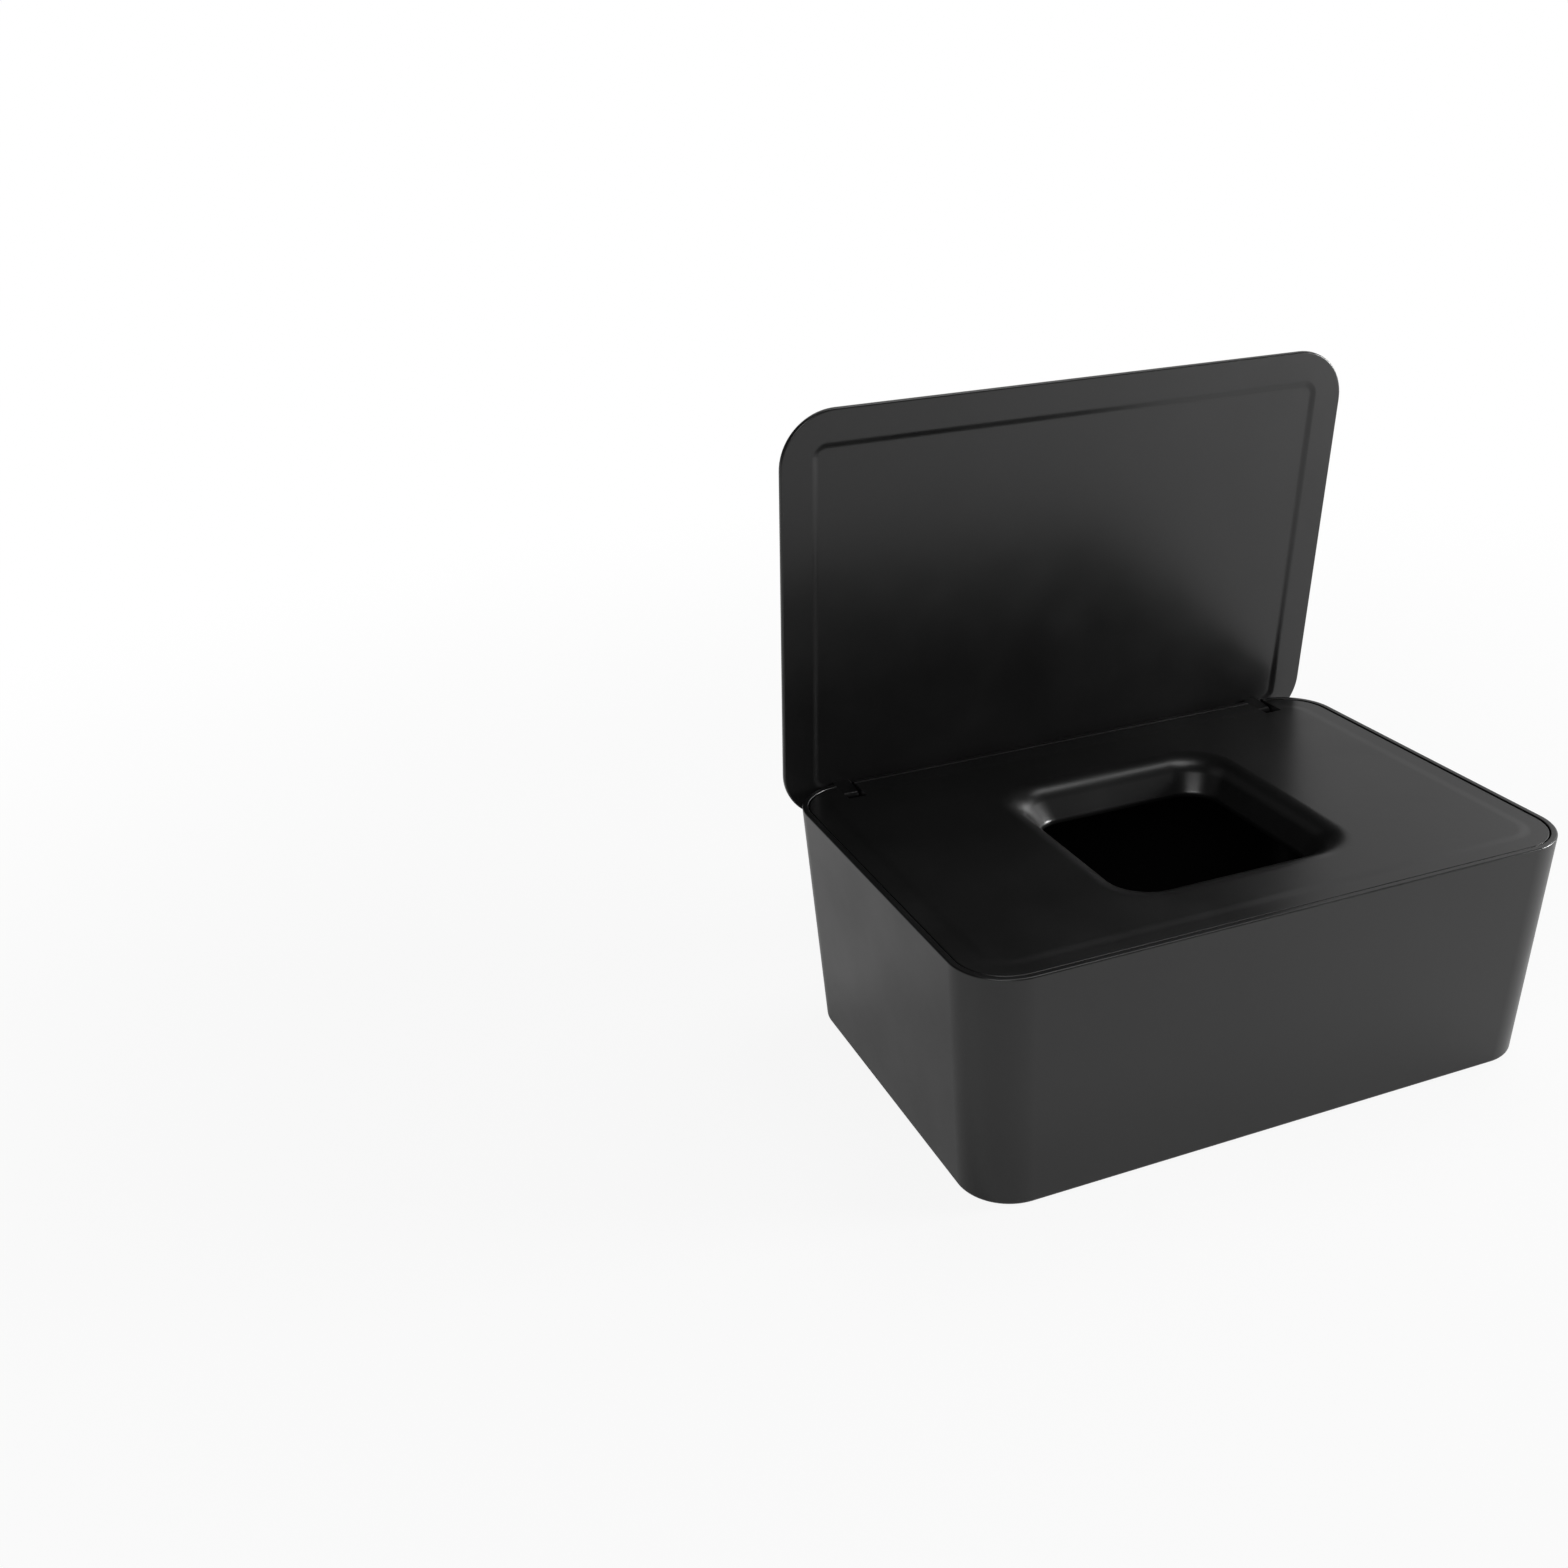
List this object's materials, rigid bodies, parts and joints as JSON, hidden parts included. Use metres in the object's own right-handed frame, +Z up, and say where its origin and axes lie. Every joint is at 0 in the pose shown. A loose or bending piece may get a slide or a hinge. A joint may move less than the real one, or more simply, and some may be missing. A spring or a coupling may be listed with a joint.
{
  "type": "countertop wipes dispenser",
  "caption": "Flip-top countertop box that dispenses wipes through a square funnel in a lift-out deck under a hinged lid.",
  "frame": {"origin": "middle of the resting plane, under the foot pads", "axes": "+X to the box's right, -Y to its front, +Z up"},
  "size_m": [0.19, 0.1364, 0.1925],
  "materials": {
    "black_plastic": "satin, moulded",
    "pin_steel": "ground",
    "pad_rubber": "matt"
  },
  "bodies": {
    "box": {"box_shell": "black_plastic", "foot_pad_front_left": "pad_rubber", "foot_pad_front_right": "pad_rubber", "foot_pad_back_left": "pad_rubber", "foot_pad_back_right": "pad_rubber"},
    "deck": {"deck_cover": "black_plastic", "hinge_pin_left": "pin_steel", "hinge_pin_right": "pin_steel"},
    "lid": {"flip_lid": "black_plastic"}
  },
  "joints": [
    {"name": "deck_lift", "type": "slide", "parent": "box", "child": "deck", "axis": [0, 0, 1], "range_m": [0, 0.03]},
    {"name": "lid_hinge", "type": "hinge", "parent": "deck", "child": "lid", "pos_m": [0, 0.0604, 0.0659], "axis": [-1, 0, 0], "range_deg": [-83.5, 0]}
  ]
}
